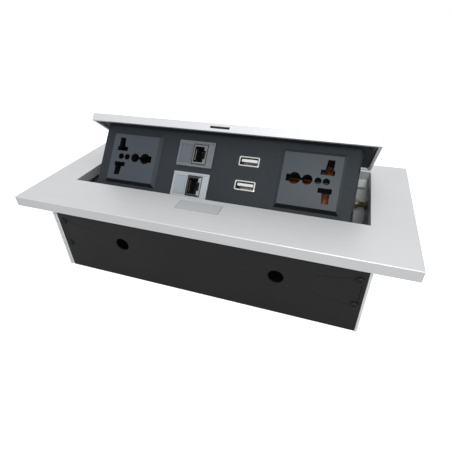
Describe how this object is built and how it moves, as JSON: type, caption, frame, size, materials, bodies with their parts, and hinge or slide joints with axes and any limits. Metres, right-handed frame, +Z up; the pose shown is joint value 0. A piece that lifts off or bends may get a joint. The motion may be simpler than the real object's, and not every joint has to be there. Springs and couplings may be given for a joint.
{
  "type": "flip-up desk socket box",
  "caption": "Desk-top cable box with a push-button flip-up lid that raises a panel of universal mains sockets, data ports and USB ports out of a sunken metal housing.",
  "frame": {"origin": "middle of the housing's underside, below the centre of the bezel", "axes": "+X along the bezel's long side, +Y from the push button to the hinge side, +Z up; shown with the lid open"},
  "size_m": [0.2554, 0.12, 0.1026],
  "materials": {
    "satin_aluminium": "satin anodised, fine brushed grain",
    "galvanised_steel": "bare galvanised sheet",
    "black_steel": "black satin powder coat",
    "zinc_fixings": "zinc plated",
    "spring_steel": "drawn spring wire",
    "grey_socket_plastic": "dark grey moulded face",
    "black_plastic": "black moulded body",
    "brass_contact": "stamped contact",
    "rubber_ring": "black moulded rubber",
    "nylon_white": "natural nylon",
    "silver_plastic": "grey moulded frame",
    "bare_label": "bare pale insert",
    "gold_contact": "gilded contact strip",
    "usb_steel": "bright plated shell",
    "white_plastic": "white contact tongue",
    "green_board": "solder-masked circuit board",
    "brown_cable": "brown insulation",
    "blue_cable": "blue insulation",
    "green_yellow_cable": "green and yellow insulation"
  },
  "bodies": {
    "housing": {"bezel_frame": "satin_aluminium", "base_tray": "galvanised_steel", "end_plate_left": "galvanised_steel", "end_plate_right": "galvanised_steel", "front_cover": "black_steel", "cover_screws": "black_steel", "bezel_nuts": "zinc_fixings", "tray_rivets": "zinc_fixings", "earth_stud": "zinc_fixings", "pivot_nuts": "zinc_fixings", "button_guide": "black_plastic", "guide_screws": "zinc_fixings", "latch_spring": "spring_steel", "pivot_screw_left": "zinc_fixings", "pivot_screw_right": "zinc_fixings", "pivot_spacer_left": "zinc_fixings", "pivot_spacer_right": "zinc_fixings", "lid_spring_left": "spring_steel", "lid_spring_right": "spring_steel"},
    "lid": {"lid_plate": "satin_aluminium", "lid_carrier": "black_steel", "lid_screws": "black_steel", "cheek_screws": "black_steel", "socket_panel": "black_steel", "unit_tray": "black_steel", "lead_grommets": "rubber_ring", "usb_board": "green_board", "usb_converter": "black_plastic", "cheek_left": "black_steel", "cheek_right": "black_steel", "pivot_bush_left": "nylon_white", "pivot_bush_right": "nylon_white", "wire_live": "brown_cable", "wire_neutral": "blue_cable", "wire_earth": "green_yellow_cable", "socket_face_left": "grey_socket_plastic", "socket_body_left": "black_plastic", "socket_contacts_left": "brass_contact", "socket_terminals_left": "zinc_fixings", "socket_face_right": "grey_socket_plastic", "socket_body_right": "black_plastic", "socket_contacts_right": "brass_contact", "socket_terminals_right": "zinc_fixings", "data_frame_upper": "silver_plastic", "data_label_upper": "bare_label", "data_jack_upper": "black_plastic", "jack_contacts_upper": "gold_contact", "usb_shell_upper": "usb_steel", "usb_tongue_upper": "white_plastic", "data_frame_lower": "silver_plastic", "data_label_lower": "bare_label", "data_jack_lower": "black_plastic", "jack_contacts_lower": "gold_contact", "usb_shell_lower": "usb_steel", "usb_tongue_lower": "white_plastic"},
    "button": {"push_button": "satin_aluminium"},
    "latch": {"latch_bolt": "galvanised_steel"}
  },
  "joints": [
    {"name": "lid_flip", "type": "hinge", "parent": "housing", "child": "lid", "pos_m": [0, 0.0461, 0.0354], "axis": [1, 0, 0], "range_deg": [0, 39.7], "stiffness_Nm_per_rad": 0.4, "springref_deg": -85.94, "deforming": ["lid_spring_left", "lid_spring_right"]},
    {"name": "button_press", "type": "slide", "parent": "housing", "child": "button", "axis": [0, 0, -1], "range_m": [0, 0.002]},
    {"name": "latch_slide", "type": "slide", "parent": "housing", "child": "latch", "axis": [0, -1, 0], "range_m": [0, 0.0015], "stiffness_N_per_m": 500, "springref_m": -0.002, "deforming": ["latch_spring"]}
  ],
  "couplings": [
    {"joint": "latch_slide", "follows": "button_press", "ratio": 0.75}
  ]
}
